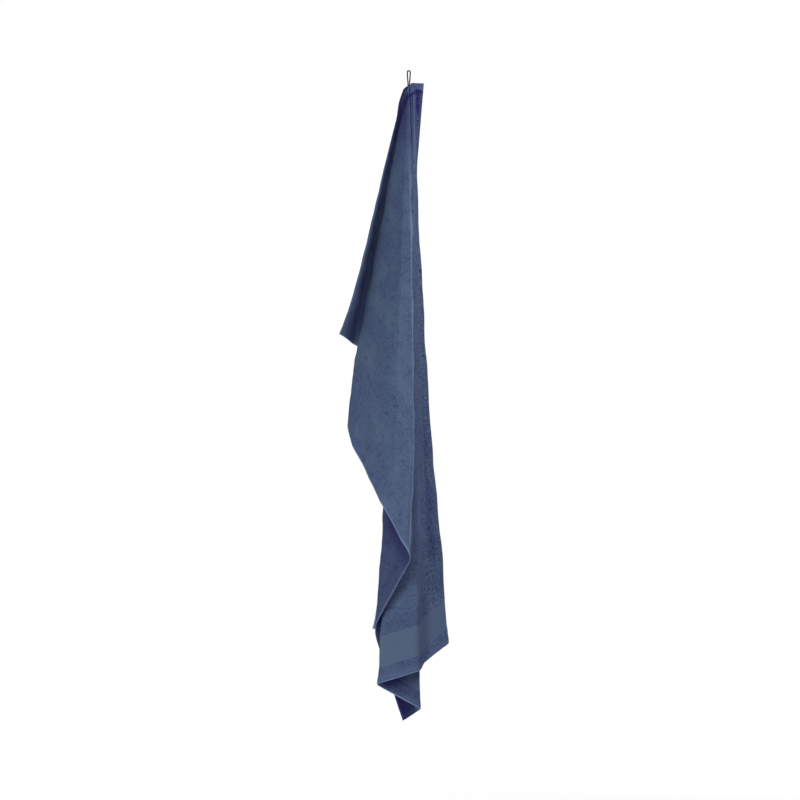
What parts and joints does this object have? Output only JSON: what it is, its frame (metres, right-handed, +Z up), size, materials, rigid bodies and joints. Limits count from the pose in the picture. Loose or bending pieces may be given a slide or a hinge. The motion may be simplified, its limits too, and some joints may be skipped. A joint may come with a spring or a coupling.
{
  "type": "bath towel",
  "caption": "Terry bath towel with a woven border and stitched hems, hanging in long narrow folds from a cord loop sewn to its top hem near a corner.",
  "frame": {"origin": "inside of the cord loop's top, where a hook or peg carries it", "axes": "+Z up; the front of the hanging towel faces -Y; +X to the right of someone who looks at the front"},
  "size_m": [0.2741, 0.3231, 1.6275],
  "materials": {
    "towel_terry": "cotton terry, matte",
    "loop_cord": "round braided cord, matte"
  },
  "bodies": {
    "root": {"towel": "towel_terry", "hang_loop": "loop_cord"}
  },
  "joints": []
}
